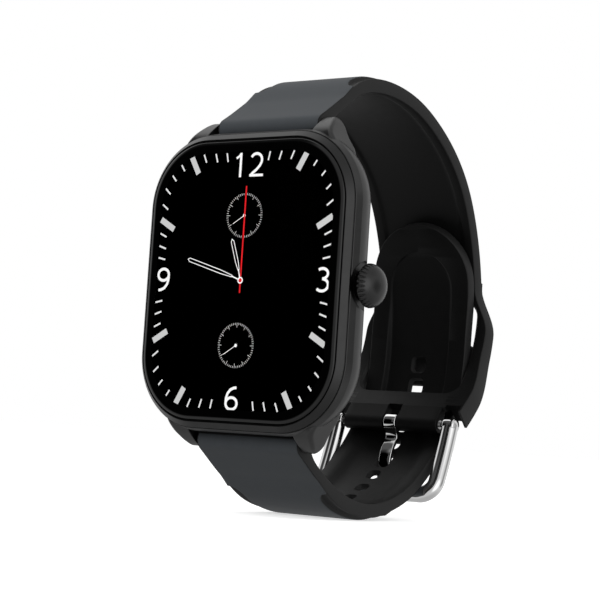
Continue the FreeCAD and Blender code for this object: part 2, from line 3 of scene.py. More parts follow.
import bmesh
import bpy
import numpy as np
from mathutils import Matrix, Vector


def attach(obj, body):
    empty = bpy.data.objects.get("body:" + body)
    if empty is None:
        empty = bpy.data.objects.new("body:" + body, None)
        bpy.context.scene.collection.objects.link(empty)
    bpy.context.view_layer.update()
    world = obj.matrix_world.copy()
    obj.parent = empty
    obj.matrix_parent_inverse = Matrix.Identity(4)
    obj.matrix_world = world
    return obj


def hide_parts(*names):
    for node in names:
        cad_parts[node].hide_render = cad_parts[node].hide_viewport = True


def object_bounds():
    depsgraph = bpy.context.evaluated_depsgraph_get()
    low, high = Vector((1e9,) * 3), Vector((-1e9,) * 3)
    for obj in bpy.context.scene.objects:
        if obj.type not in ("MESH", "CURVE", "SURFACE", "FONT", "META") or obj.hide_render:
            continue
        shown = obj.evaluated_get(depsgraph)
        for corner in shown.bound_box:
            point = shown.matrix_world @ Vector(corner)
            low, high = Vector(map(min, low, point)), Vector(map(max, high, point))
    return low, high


# Smartwatch, buckled. The shapes are drawn in millimetres with Y = 0 on the front of the glass, as in the
# CAD source, and moved by the watch's thickness so that the wrist face is at Y = 0. X points to the crown,
# Z to 12 o'clock and Y from the glass to the wrist.

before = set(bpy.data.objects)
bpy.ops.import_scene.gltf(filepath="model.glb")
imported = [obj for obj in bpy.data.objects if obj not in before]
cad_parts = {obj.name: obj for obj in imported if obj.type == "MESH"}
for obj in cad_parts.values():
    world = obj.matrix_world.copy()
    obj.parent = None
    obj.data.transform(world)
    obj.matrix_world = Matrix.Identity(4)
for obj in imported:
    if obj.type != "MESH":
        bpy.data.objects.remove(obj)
cad_low, cad_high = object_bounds()

MM = 0.001
WATCH_THICKNESS = 10.2
BAR_Y, BAR_Z = 6.1, 24.3
SLEEVE_RADIUS = 1.75
STRAP_HALF_WIDTH = 9.65
STRAP_THICKNESS, NECK_THICKNESS, TAIL_THICKNESS = 2.2, 1.7, 1.9
PANEL_HALF_WIDTH, PANEL_RISE = 7.6, 0.5
FLARE_HALF_WIDTH, WINDOW_HALF_WIDTH = 12.3, 10.4
RAIL_THICKNESS, BRIDGE_THICKNESS = (2.3, 3.5), 1.4
FLARE_START, WINDOW_TOP, WINDOW_BOTTOM = 0.70, 0.79, 0.956
BUCKLE_BAR = (44.5, -19.5)
BARREL_RADIUS, BARREL_HALF_WIDTH = 1.45, 9.3
CROSSBAR = (40.3, -31.1)
ARM_BOW = (42.65, -25.3)
BUCKLE_ARM_X, BUCKLE_CORNER = 11.3, 2.6
HOLE_COUNT, TONGUE_HOLE_INDEX, LAST_HIDDEN_HOLE = 9, 3, 5
FIRST_HOLE, HOLE_PITCH = 0.3325, 0.0458
SCOOP_DEPTH = 0.95
TONGUE_HOLE = FIRST_HOLE + TONGUE_HOLE_INDEX * HOLE_PITCH
# Half width and half length on the outside of the strap.
TONGUE_HOLE_HALF, TAIL_HOLE_HALF, HIDDEN_HOLE_HALF = (1.2, 1.5), (1.2, 1.15), (0.95, 0.8)
TONGUE_THICKNESS, TONGUE_WIDTH = 0.7, 2.3
TIP_Z = 14.6
PIN_BORE = 0.78
SLEEVE_LEAN = 0.09

# Wrist-side lines of the two straps, as (Y, Z) points that smooth curves pass through.
BUCKLE_LINE = [(7.3, 25.3), (11.0, 27.7), (15.6, 30.7), (20.5, 31.9), (26.5, 31.8), (32.0, 30.6),
               (37.3, 28.2), (42.5, 24.6), (46.6, 20.2), (49.6, 14.8), (51.9, 8.0), (52.9, 1.5),
               (52.6, -3.5), (51.2, -8.2), (48.7, -12.5), (44.9, -16.5)]
HOLE_LINE = [(7.2, -25.3), (11.4, -28.2), (15.5, -30.6), (20.5, -32.3), (25.4, -32.8), (30.5, -32.0),
             (36.2, -29.6), (40.2, -26.6), (43.5, -23.5), (46.3, -20.0), (48.6, -16.3), (49.8, -12.6),
             (50.4, -8.0), (50.5, -3.4), (50.65, 1.5), (49.8, 7.4), (47.3, 15.0)]


def smoothstep(value):
    """Smooth rise from 0 to 1 as the value goes from 0 to 1."""
    t = min(1.0, max(0.0, value))
    return t * t * (3 - 2 * t)


def unit(vector):
    return vector / np.linalg.norm(vector)


class Line:
    """Natural cubic spline through (Y, Z) points, by the fraction of its chord length."""

    def __init__(self, points):
        self.points = np.array(points, float)
        steps = np.linalg.norm(np.diff(self.points, axis=0), axis=1)
        self.knots = np.concatenate([[0.0], np.cumsum(steps)])
        self.length = self.knots[-1]
        count = len(self.points)
        system, right = np.eye(count), np.zeros((count, 2))
        for i in range(1, count - 1):
            before, after = steps[i - 1], steps[i]
            system[i, i - 1:i + 2] = before, 2 * (before + after), after
            right[i] = 6 * ((self.points[i + 1] - self.points[i]) / after
                            - (self.points[i] - self.points[i - 1]) / before)
        self.bends = np.linalg.solve(system, right)

    def point(self, fraction):
        at = min(1.0, max(0.0, fraction)) * self.length
        i = min(len(self.knots) - 2, max(0, int(np.searchsorted(self.knots, at, "right")) - 1))
        span = self.knots[i + 1] - self.knots[i]
        a, b = (self.knots[i + 1] - at) / span, (at - self.knots[i]) / span
        return (a * self.points[i] + b * self.points[i + 1]
                + ((a ** 3 - a) * self.bends[i] + (b ** 3 - b) * self.bends[i + 1]) * span ** 2 / 6)

    def run(self, fraction):
        """Direction from the first point towards the last."""
        step = 0.0005
        return unit(self.point(fraction + step) - self.point(fraction - step))

    def out(self, fraction):
        """Normal that points away from the wrist."""
        run = self.run(fraction)
        normal = np.array([run[1], -run[0]])
        middle = np.array([26.0, 0.0])
        return normal if normal @ (self.point(fraction) - middle) > 0 else -normal

    def lift(self, fraction, height):
        """Point at a height above the line; past its ends the line goes on straight."""
        clamped = min(1.0, max(0.0, fraction))
        beyond = (fraction - clamped) * self.length
        return self.point(clamped) + self.run(clamped) * beyond + self.out(clamped) * height


buckle_line, hole_line = Line(BUCKLE_LINE), Line(HOLE_LINE)


# ---------------------------------------------------------------- mesh tools

def to_world(points):
    """Drawn millimetres to the shared frame's metres."""
    moved = np.array(points, float).reshape(-1, 3)
    return (moved - [0, WATCH_THICKNESS, 0]) * MM


def new_object(name, points, faces, materials, indices=None, sharp_angle=32):
    """Mesh object with smooth faces, kept sharp where they meet at more than an angle."""
    mesh = bpy.data.meshes.new(name)
    mesh.from_pydata([tuple(p) for p in to_world(points)], [], faces)
    for material in materials:
        mesh.materials.append(material)
    if indices is not None:
        mesh.polygons.foreach_set("material_index", indices)
    obj = bpy.data.objects.new(name, mesh)
    bpy.context.scene.collection.objects.link(obj)
    finish_shading(obj, sharp_angle)
    return obj


def finish_shading(obj, sharp_angle):
    mesh = obj.data
    mesh.polygons.foreach_set("use_smooth", [True] * len(mesh.polygons))
    mesh.set_sharp_from_angle(angle=math.radians(sharp_angle))
    mesh.update()


def loft(rings):
    """Points and faces of a closed solid through rings of equally many points."""
    count = len(rings[0])
    points = [p for ring in rings for p in ring]
    faces = []
    for i in range(len(rings) - 1):
        for j in range(count):
            k = (j + 1) % count
            faces.append((i * count + j, i * count + k, (i + 1) * count + k, (i + 1) * count + j))
    faces.append(tuple(range(count))[::-1])
    last = (len(rings) - 1) * count
    faces.append(tuple(range(last, last + count)))
    return points, faces


def outward(obj):
    """Make all faces of an object point out."""
    work = bmesh.new()
    work.from_mesh(obj.data)
    bmesh.ops.recalc_face_normals(work, faces=work.faces)
    work.to_mesh(obj.data)
    work.free()
    return obj


def combine(obj, others, operation, sharp_angle=32):
    """Cut or join other objects into an object, then remove them."""
    for other in others:
        step = obj.modifiers.new(other.name, "BOOLEAN")
        step.operation, step.object, step.solver = operation, other, "EXACT"
    graph = bpy.context.evaluated_depsgraph_get()
    made = bpy.data.meshes.new_from_object(obj.evaluated_get(graph))
    obj.modifiers.clear()
    obj.data = made
    for other in others:
        bpy.data.objects.remove(other)
    finish_shading(obj, sharp_angle)
    return obj


def rounded_rectangle(half_x, half_z, radius, steps=8):
    """Closed outline of a rounded rectangle, anticlockwise."""
    outline = []
    for quarter, (sx, sz) in enumerate([(1, 1), (-1, 1), (-1, -1), (1, -1)]):
        for i in range(steps + 1):
            angle = math.pi / 2 * (quarter + i / steps)
            outline.append((sx * (half_x - radius) + radius * math.cos(angle),
                            sz * (half_z - radius) + radius * math.sin(angle)))
    return outline


def cutter(line, start, end, half_width, radius, levels):
    """Rings of a tool for an opening; levels are (height, how much wider the opening is there)."""
    middle = (start + end) / 2
    half_length = abs(end - start) * line.length / 2
    rings = []
    for height, wider in levels:
        ring = []
        outline = rounded_rectangle(half_width + wider, half_length + wider, radius + wider, 6)
        dense = []
        for (x0, s0), (x1, s1) in zip(outline, outline[1:] + outline[:1]):
            pieces = max(1, int(math.hypot(x1 - x0, s1 - s0)))
            dense += [(x0 + (x1 - x0) * i / pieces, s0 + (s1 - s0) * i / pieces) for i in range(pieces)]
        for x, s in dense:
            y, z = line.lift(middle + s / line.length, height)
            ring.append((x, y, z))
        rings.append(ring)
    return rings


def edge_levels(thickness, soft, over=1.5):
    """Cutter levels that leave a 45 degree bevel of a given size on both faces."""
    low = [(-over, soft), (0.0, soft)]
    for i in range(1, 5):
        angle = math.pi / 2 * i / 4
        low.append((soft * math.sin(angle), soft * (1 - math.sin(angle))))
    mirrored = [(thickness - height, wider) for height, wider in reversed(low)]
    return low + mirrored


# ---------------------------------------------------------------- materials

def principled(name, colour, second, roughness, metallic=0.0, specular=0.5, scale=900.0, spread=0.5,
               bump=0.0, bump_scale=4000.0, rough_spread=0.04, soften=0.0, coat=0.0, sheen=0.0):
    """Surface with noise in its colour, roughness and fine relief. Scales are per metre."""
    material = bpy.data.materials.new(name)
    material.use_nodes = True
    nodes, links = material.node_tree.nodes, material.node_tree.links
    shader = nodes["Principled BSDF"]
    shader.inputs["Metallic"].default_value = metallic
    shader.inputs["Specular IOR Level"].default_value = specular
    shader.inputs["Coat Weight"].default_value = coat
    shader.inputs["Coat Roughness"].default_value = 0.08
    shader.inputs["Sheen Weight"].default_value = sheen
    place = nodes.new("ShaderNodeTexCoord")
    noise = nodes.new("ShaderNodeTexNoise")
    noise.inputs["Scale"].default_value = scale
    noise.inputs["Detail"].default_value = 4.0
    links.new(place.outputs["Object"], noise.inputs["Vector"])
    ramp = nodes.new("ShaderNodeValToRGB")
    ramp.color_ramp.elements[0].position = 0.5 - spread / 2
    ramp.color_ramp.elements[1].position = 0.5 + spread / 2
    ramp.color_ramp.elements[0].color = (*colour, 1)
    ramp.color_ramp.elements[1].color = (*second, 1)
    links.new(noise.outputs["Fac"], ramp.inputs["Fac"])
    links.new(ramp.outputs["Color"], shader.inputs["Base Color"])
    span = nodes.new("ShaderNodeMapRange")
    span.inputs["To Min"].default_value = max(0.0, roughness - rough_spread)
    span.inputs["To Max"].default_value = min(1.0, roughness + rough_spread)
    links.new(noise.outputs["Fac"], span.inputs["Value"])
    links.new(span.outputs["Result"], shader.inputs["Roughness"])
    normal = None
    if soften > 0:
        bevel = nodes.new("ShaderNodeBevel")
        bevel.samples = 6
        bevel.inputs["Radius"].default_value = soften * MM
        normal = bevel.outputs["Normal"]
    if bump > 0:
        grain = nodes.new("ShaderNodeTexNoise")
        grain.inputs["Scale"].default_value = bump_scale
        grain.inputs["Detail"].default_value = 3.0
        links.new(place.outputs["Object"], grain.inputs["Vector"])
        relief = nodes.new("ShaderNodeBump")
        relief.inputs["Strength"].default_value = 1.0
        relief.inputs["Distance"].default_value = bump * MM
        links.new(grain.outputs["Fac"], relief.inputs["Height"])
        if normal is not None:
            links.new(normal, relief.inputs["Normal"])
        normal = relief.outputs["Normal"]
    if normal is not None:
        links.new(normal, shader.inputs["Normal"])
    return material


def glowing(name, colour, second, strength):
    """Lit part of the display, with the slight unevenness of its pixels."""
    material = principled(name, (0.01, 0.01, 0.01), (0.012, 0.012, 0.012), 0.5, specular=0.0)
    nodes, links = material.node_tree.nodes, material.node_tree.links
    shader = nodes["Principled BSDF"]
    shader.inputs["Emission Strength"].default_value = strength
    place = nodes.new("ShaderNodeTexCoord")
    pixels = nodes.new("ShaderNodeTexVoronoi")
    pixels.inputs["Scale"].default_value = 9000.0
    links.new(place.outputs["Object"], pixels.inputs["Vector"])
    ramp = nodes.new("ShaderNodeValToRGB")
    ramp.color_ramp.elements[0].color = (*colour, 1)
    ramp.color_ramp.elements[1].color = (*second, 1)
    links.new(pixels.outputs["Distance"], ramp.inputs["Fac"])
    links.new(ramp.outputs["Color"], shader.inputs["Emission Color"])
    return material


def grey(value, tint=0.0):
    """Linear colour from an sRGB grey level of 0 to 255, a little bluer with more tint."""
    levels = [value * (1 - tint), value, value * (1 + tint)]
    return tuple(((v / 255 + 0.055) / 1.055) ** 2.4 if v > 10 else v / 255 / 12.92 for v in levels)


graphite = principled("graphite_metal", grey(74), grey(79), 0.34, metallic=1.0, scale=500, bump=0.0012,
                      bump_scale=9000, soften=0.22)
graphite_dark = principled("graphite_bezel", grey(62), grey(67), 0.30, metallic=1.0, scale=500, bump=0.001,
                           bump_scale=9000, soften=0.10)
crown_metal = principled("crown_metal", grey(66), grey(73), 0.26, metallic=1.0, scale=700, bump=0.0012,
                         bump_scale=8000, soften=0.12)
chrome = principled("polished_steel", grey(240), grey(246), 0.05, metallic=1.0, scale=300, bump=0.0002,
                    bump_scale=2500, rough_spread=0.02, soften=0.05)
steel = principled("brushed_steel", grey(165), grey(180), 0.28, metallic=1.0, scale=1500, bump=0.0008)
slate = principled("slate_silicone", grey(64, 0.05), grey(68, 0.05), 0.60, specular=0.22, scale=700,
                   bump=0.004, bump_scale=6000)
# The side and inner silicones are darker copies of the slate silicone: painted shade where the strap's edges,
# groove, holes, inside and sleeves fall in shadow.
edge_silicone_painted_shade = principled("side_silicone_painted_shade", grey(38), grey(41), 0.62, specular=0.2, scale=700,
                           bump=0.004, bump_scale=6000)
inner_silicone_painted_shade = principled("inner_silicone_painted_shade", grey(14), grey(16), 0.5, specular=0.18, scale=700,
                            bump=0.003, bump_scale=6000)
rubber = principled("seal_rubber", grey(34), grey(40), 0.8, specular=0.2, bump=0.004)
plastic = principled("black_plastic", grey(44), grey(50), 0.5, specular=0.4, bump=0.003, bump_scale=5000)
panel = principled("display_black", grey(1), grey(2), 0.4, specular=0.0, scale=1500)
board = principled("circuit_board", (0.004, 0.035, 0.018), (0.01, 0.075, 0.035), 0.4, scale=1600,
                   spread=0.08, bump=0.01, bump_scale=2500, coat=0.3)
chip = principled("chip_resin", grey(38), grey(48), 0.6, scale=3000, bump=0.003)
tin = principled("tinned_can", grey(170), grey(190), 0.35, metallic=1.0, scale=900, bump=0.002)
foil = principled("battery_foil", grey(120), grey(150), 0.3, metallic=0.9, scale=400, bump=0.03,
                  bump_scale=700)
amber = principled("flex_film", (0.28, 0.10, 0.015), (0.36, 0.14, 0.02), 0.35, scale=2500, spread=0.1,
                   coat=0.4)
copper = principled("copper", (0.55, 0.23, 0.11), (0.65, 0.3, 0.15), 0.3, metallic=1.0, bump=0.002)
gold = principled("gold_plate", (0.78, 0.5, 0.15), (0.85, 0.58, 0.2), 0.2, metallic=1.0, bump=0.0006)
magnet = principled("nickel_magnet", grey(150), grey(165), 0.2, metallic=1.0, bump=0.001)
cover = principled("back_plastic", grey(40), grey(44), 0.42, specular=0.4, bump=0.003, bump_scale=7000,
                   soften=0.15)
lens = principled("sensor_lens", grey(10), grey(13), 0.06, specular=0.6, scale=600, rough_spread=0.02,
                  coat=0.6)
diode = principled("photodiode", (0.01, 0.012, 0.05), (0.02, 0.03, 0.09), 0.2, scale=2500, coat=0.8)
led = principled("green_led", (0.05, 0.5, 0.12), (0.1, 0.7, 0.2), 0.3, scale=2500, coat=0.5)
membrane = principled("speaker_membrane", grey(60), grey(72), 0.5, specular=0.3, bump=0.01, bump_scale=3000)
white_glow = glowing("dial_white", (1, 1, 1), (0.97, 0.97, 0.97), 1.0)
grey_glow = glowing("dial_grey", grey(208), grey(203), 1.0)
tick_glow = glowing("dial_tick", grey(232), grey(228), 1.0)
red_glow = glowing("dial_red", (0.80, 0.012, 0.016), (0.74, 0.010, 0.014), 1.0)

glass = principled("cover_glass", (0.98, 0.99, 0.99), (1, 1, 1), 0.012, specular=0.5, scale=300,
                   rough_spread=0.006)
glass.node_tree.nodes["Principled BSDF"].inputs["Transmission Weight"].default_value = 1.0
glass.node_tree.nodes["Principled BSDF"].inputs["IOR"].default_value = 1.5

inked_glass = principled("inked_glass", grey(3), grey(4), 0.03, specular=0.5, scale=300, rough_spread=0.01)

FINISHES = {
    "case_body": graphite, "front_bezel": graphite_dark, "cover_glass": glass, "glass_gasket": rubber,
    "display_panel": panel, "display_backplate": tin, "inner_frame": plastic, "display_flex": amber,
    "main_board": board, "processor_shield": tin, "memory_chip": chip, "bluetooth_antenna": copper,
    "battery": foil, "battery_tab": amber, "haptic_can": tin, "haptic_rotor": steel,
    "speaker_basket": plastic, "speaker_cone": membrane, "microphone": tin, "crown_tube": steel,
    "crown_knob": crown_metal, "crown_shaft": steel, "crown_oring": rubber, "crown_clip": steel,
    "crown_switch": plastic, "crown_plunger": plastic, "back_cover": cover, "back_gasket": rubber,
    "sensor_window": lens, "sensor_board": board, "optical_baffle": plastic, "sensor_leds": led,
    "photodiodes": diode, "charging_contacts": gold, "charging_magnets": magnet, "back_screws": steel,
    "upper_bar_tube": steel, "upper_fixed_pin": steel, "upper_release_pin": steel,
    "upper_bar_spring": steel, "lower_bar_tube": steel, "lower_fixed_pin": steel,
    "lower_release_pin": steel, "lower_bar_spring": steel, "buckle_bar_tube": steel,
    "buckle_bar_pins": steel, "buckle_bar_spring": steel, "buckle_frame": chrome,
    "buckle_tongue": chrome, "buckle_strap": slate, "hole_strap": slate,
}
for node, finish in FINISHES.items():
    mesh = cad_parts[node].data
    mesh.materials.clear()
    mesh.materials.append(finish)

# ---------------------------------------------------------------- straps

# Material slots: the outer one is the lit slate; the side and inner ones hold its darker copies, painted
# shade.
OUTER, SIDE_SHADE, INNER_SHADE = 0, 1, 2
STRAP_MATERIALS = [slate, edge_silicone_painted_shade, inner_silicone_painted_shade]

# Step from the raised panel down into the groove beside it: (distance out, share of the panel's rise).
PANEL_STEP = [(-0.55, 1.0), (-0.3, 0.99), (-0.12, 0.94), (0.0, 0.8), (0.06, 0.45), (0.10, 0.1), (0.2, -0.35),
              (0.5, -0.55), (0.95, -0.5), (1.4, -0.25)]


def section(half_width, thickness, panel_half, rise, recess, recess_half, spread=1.0):
    """Half outline across a strap, from the middle of its outside to the middle of its inside.

    Each point is (x, height, material of the face that follows it).
    """
    soft = min(0.16, 0.22 * thickness, 0.3 * half_width)
    narrow = max(0.02, min(1.0, (half_width - panel_half) / (STRAP_HALF_WIDTH - PANEL_HALF_WIDTH)))
    top = thickness + rise
    half = [(x * (panel_half - 0.55 * narrow), top, OUTER) for x in (0.0, 0.3, 0.6, 0.85)]
    # Past the panel's edge the groove takes the darker side colour, painted shade in the groove.
    for away, share in PANEL_STEP:
        half.append((min(panel_half + away * narrow, half_width - soft * narrow),
                     thickness + rise * share, OUTER if away < 0 else SIDE_SHADE))
    half.append((half_width - soft, thickness, SIDE_SHADE))
    for i in range(1, 4):
        angle = math.pi / 2 * i / 3
        half.append((half_width - soft + soft * math.sin(angle),
                     thickness - soft + soft * math.cos(angle), SIDE_SHADE))
    half.append((half_width, thickness / 2, SIDE_SHADE))
    for i in range(4):
        angle = math.pi / 2 * i / 3
        half.append((half_width - soft + soft * math.cos(angle), soft - soft * math.sin(angle),
                     SIDE_SHADE if i < 3 else INNER_SHADE))
    # The wrist-side face takes the darkest inner colour, painted shade on the inside of the strap.
    edge = min(recess_half, half_width - soft - 0.02)
    for inset, depth in ((0.0, 0.0), (0.015, 0.07), (0.035, 0.3), (0.06, 0.7), (0.085, 0.94), (0.12, 1.0),
                         (0.16, 1.0)):
        half.append((edge * (1 - inset * spread), recess * depth, INNER_SHADE))
    half += [(edge * 0.22, recess, INNER_SHADE), (0.0, recess, INNER_SHADE)]
    return half


def strap_ring(inner, outer, thickness, half):
    """Closed ring in space from a half outline, between an inner and an outer (Y, Z) point."""
    mirrored = [(-x, height, mark) for x, height, mark in half[-2:0:-1]]
    ring = []
    for x, height, _ in half + mirrored:
        y, z = inner + (outer - inner) * (height / thickness)
        ring.append((x, y, z))
    marks = [mark for _, _, mark in half]
    return ring, marks[:-1] + marks[-2::-1]


def lug_stations(line, end, join, steps=9):
    """(inner, outer) points from the pole of the sleeve round the spring bar to the strap proper."""
    centre = np.array([BAR_Y, end * BAR_Z])
    run, out = line.run(0.0), line.out(0.0)
    pole = math.atan2(-run[1], -run[0])
    pairs = []
    turn_out = math.atan2(out[1], out[0])
    turn_in = math.atan2(end * -SLEEVE_LEAN, 1.0)
    full = 2 * math.pi

    def swing(a, b, clockwise):
        delta = (b - a) % full
        return delta - full if clockwise else delta

    sweep_out = swing(pole, turn_out, end > 0)
    sweep_in = swing(pole, turn_in, end < 0)
    for i in range(1, steps + 1):
        share = (i / steps) ** 1.3
        a, b = pole + sweep_out * share, pole + sweep_in * share
        pairs.append((centre + SLEEVE_RADIUS * np.array([math.cos(b), math.sin(b)]),
                      centre + SLEEVE_RADIUS * np.array([math.cos(a), math.sin(a)])))
    leave_in, leave_out = pairs[-1]
    tangent_in = np.array([-math.sin(turn_in), math.cos(turn_in)]) * end
    end_in, end_out = line.lift(join, 0.0), line.lift(join, NECK_THICKNESS)
    end_run = line.run(join)
    reach_in = np.linalg.norm(end_in - leave_in)
    reach_out = np.linalg.norm(end_out - leave_out)
    for i in range(1, 8):
        t = i / 8
        h00, h10 = 2 * t ** 3 - 3 * t ** 2 + 1, t ** 3 - 2 * t ** 2 + t
        h01, h11 = -2 * t ** 3 + 3 * t ** 2, t ** 3 - t ** 2
        pairs.append((h00 * leave_in + h10 * tangent_in * reach_in + h01 * end_in + h11 * end_run * reach_in,
                      h00 * leave_out + h10 * run * reach_out + h01 * end_out + h11 * end_run * reach_out))
    return pairs


def groove_edge(fraction, start, end, length, half_width, reach=2.4):
    """Half width of the raised panel: full before the groove's rounded start and after its end."""
    near = min(fraction - start, end - fraction) * length / reach
    if near <= 0:
        return half_width - 0.04
    t = min(1.0, near)
    return half_width - (half_width - PANEL_HALF_WIDTH) * math.sqrt(1 - (1 - t) ** 2)


def strap(name, line, end, join, fractions, shape):
    """Strap solid; shape(fraction) gives what section() takes at that fraction of the line."""
    rings, rows = [], []
    neck = shape(join)
    for inner, outer in lug_stations(line, end, join):
        span = np.linalg.norm(outer - inner)
        half = section(neck[0], span, neck[0] - 0.04, 0.0, 0.0, neck[5])
        ring, marks = strap_ring(inner, outer, span, half)
        rings.append(ring)
        rows.append(marks)
    for fraction in fractions:
        values = shape(fraction)
        thickness = values[1]
        half = section(*values)
        ring, marks = strap_ring(line.lift(fraction, 0.0), line.lift(fraction, thickness), thickness, half)
        rings.append(ring)
        rows.append(marks)
    points, faces = loft(rings)
    # The two end faces take the darker side colour, painted shade.
    indices = [m for row in rows[:-1] for m in row] + [SIDE_SHADE, SIDE_SHADE]
    return outward(new_object(name, points, faces, STRAP_MATERIALS, indices))


def spaced(start, end, step, length):
    """Fractions of a line from start to end, at least a step in millimetres apart."""
    count = max(2, int(abs(end - start) * length / step))
    return [start + (end - start) * i / count for i in range(count + 1)]


def opening(line, start, end, half_width, radius, levels):
    """Tool that cuts an opening through a strap."""
    points, faces = loft(cutter(line, start, end, half_width, radius, levels))
    # The walls this cuts take the darker side colour, painted shade inside the opening.
    return outward(new_object("tool", points, faces, STRAP_MATERIALS, [SIDE_SHADE] * len(faces)))


JOIN = 0.055
GROOVE_START, GROOVE_ROUND_END = 0.095, 0.125
WINDOW_RAISE = 0.03
CHEEK_SPREAD, CHEEK_END = 0.95, 1.012


def buckle_shape(fraction):
    z = buckle_line.point(fraction)[1]
    spread = smoothstep((4.0 - z) / 7.5) if fraction > 0.5 else 0.0
    half_width = STRAP_HALF_WIDTH + (FLARE_HALF_WIDTH - STRAP_HALF_WIDTH) * spread
    half_width += CHEEK_SPREAD * smoothstep((fraction - 0.86) / 0.1)
    thickness = NECK_THICKNESS + (STRAP_THICKNESS - NECK_THICKNESS) * smoothstep((fraction - JOIN) / 0.11)
    if fraction > FLARE_START:
        rail = (fraction - FLARE_START) / (1 - FLARE_START)
        thickness = STRAP_THICKNESS + (RAIL_THICKNESS[1] - STRAP_THICKNESS) * smoothstep(rail)
    rise = PANEL_RISE * smoothstep((fraction - JOIN) / 0.08) * smoothstep((0.75 - fraction) / 0.05)
    panel_half = groove_edge(fraction, GROOVE_START, 0.72, buckle_line.length, half_width)
    recess = 0.32 * smoothstep((fraction - 0.20) / 0.01) * smoothstep((0.74 - fraction) / 0.01)
    return half_width, thickness, panel_half, rise, recess, STRAP_HALF_WIDTH - 1.5


stations = spaced(JOIN, GROOVE_START, 0.5, buckle_line.length)[:-1]
stations += spaced(GROOVE_START, GROOVE_ROUND_END, 0.22, buckle_line.length)[:-1]
stations += spaced(GROOVE_ROUND_END, CHEEK_END, 0.6, buckle_line.length)
buckle_strap = strap("buckle_strap_silicone", buckle_line, 1, JOIN, stations, buckle_shape)

window = opening(buckle_line, WINDOW_TOP - WINDOW_RAISE, WINDOW_BOTTOM, WINDOW_HALF_WIDTH - 0.45, 2.2,
                 edge_levels(RAIL_THICKNESS[0] + 0.3, 0.4))
channel = opening(buckle_line, WINDOW_BOTTOM - 0.04, 1.06, WINDOW_HALF_WIDTH, 0.05,
                  [(BRIDGE_THICKNESS, 0.0), (7.0, 0.0)])
beyond = opening(buckle_line, 1.0, 1.1, WINDOW_HALF_WIDTH, 0.05, [(-2.0, 0.0), (7.0, 0.0)])
combine(buckle_strap, [window, channel, beyond], "DIFFERENCE")

bar = np.array(BUCKLE_BAR)


def barrel_solid():
    """Sleeve round the buckle's spring bar, with the neck that joins it to the bridge."""
    end_run, end_out = buckle_line.run(1.0), buckle_line.out(1.0)
    pole = math.atan2(end_run[1], end_run[0])
    rings = []
    start = WINDOW_BOTTOM + 0.012
    for i in range(5):
        fraction = start + (1.0 - start) * i / 4
        rings.append((buckle_line.lift(fraction, 0.0), buckle_line.lift(fraction, BRIDGE_THICKNESS)))
    swing = 1 if end_out @ np.array([-math.sin(pole), math.cos(pole)]) > 0 else -1
    for i in range(7):
        turn = max(0.06, math.pi / 2 * (1 - i / 6))
        a, b = pole + swing * turn, pole - swing * turn
        rings.append((bar + BARREL_RADIUS * np.array([math.cos(b), math.sin(b)]),
                      bar + BARREL_RADIUS * np.array([math.cos(a), math.sin(a)])))
    solid = []
    for inner, outer in rings:
        span = np.linalg.norm(outer - inner)
        half = section(BARREL_HALF_WIDTH, span, BARREL_HALF_WIDTH - 0.04, 0.0, 0.0, 8.0)
        solid.append(strap_ring(inner, outer, span, half)[0])
    points, faces = loft(solid)
    # The whole sleeve takes the darkest inner colour, painted shade.
    return outward(new_object("barrel", points, faces, STRAP_MATERIALS, [INNER_SHADE] * len(faces)))


combine(buckle_strap, [barrel_solid()], "UNION")


def block(half_x, along, height, centre, run, out, mark=SIDE_SHADE):
    """Box tool square to a strap, given half width, (from, to) along it and (from, to) in height."""
    points = []
    corners = [(along[0], height[0]), (along[1], height[0]), (along[1], height[1]), (along[0], height[1])]
    for x in (-half_x, half_x):
        for a, h in corners:
            y, z = centre + run * a + out * h
            points.append((x, y, z))
    faces = [(0, 1, 2, 3), (7, 6, 5, 4), (0, 4, 5, 1), (1, 5, 6, 2), (2, 6, 7, 3), (3, 7, 4, 0)]
    return outward(new_object("tool", points, faces, STRAP_MATERIALS, [mark] * 6))


def shift_x(obj, distance):
    for v in obj.data.vertices:
        v.co.x += distance * MM
    return obj


end_run, end_out = buckle_line.run(1.0), buckle_line.out(1.0)
# The tongue gap, arm pockets, bores and knob slots leave faces in the darkest inner colour, painted shade in
# these recesses.
tongue_gap = block(1.4, (-2.6, 2.3), (-3.0, 3.0), bar, end_run, end_out, INNER_SHADE)


def bore(radius, half_length, centre, count=40):
    """Round tool along X."""
    rings = []
    for x in (-half_length, half_length):
        rings.append([(x, centre[0] + radius * math.cos(2 * math.pi * i / count),
                       centre[1] + radius * math.sin(2 * math.pi * i / count)) for i in range(count)])
    points, faces = loft(rings)
    # Its cut faces take the darkest inner colour, painted shade in the bore.
    return outward(new_object("tool", points, faces, STRAP_MATERIALS, [INNER_SHADE] * len(faces)))


def knob_slot(end):
    """Tool for the slot that the quick-release knob slides in."""
    centre = np.array([BAR_Y, end * BAR_Z])
    tool = block(1.6, (-0.8, 0.8), (0.0, 4.0), centre, np.array([0.0, 1.0]), np.array([1.0, 0.0]), INNER_SHADE)
    return shift_x(tool, 4.4)


ARM_POCKET_HALF, ARM_POCKET_ALONG, ARM_POCKET_HEIGHT = 1.52, (-2.9, 4.0), (-3.0, 1.75)
arm_pockets = []
for side in (1, -1):
    pocket = block(ARM_POCKET_HALF, ARM_POCKET_ALONG, ARM_POCKET_HEIGHT, bar, end_run, end_out, INNER_SHADE)
    arm_pockets.append(shift_x(pocket, side * BUCKLE_ARM_X))
bores = [bore(PIN_BORE, 10.0, BUCKLE_BAR), bore(PIN_BORE, 12.0, (BAR_Y, BAR_Z))]
combine(buckle_strap, arm_pockets + [tongue_gap] + bores + [knob_slot(1)], "DIFFERENCE")
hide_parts("buckle_strap")
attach(buckle_strap, "strap_upper")


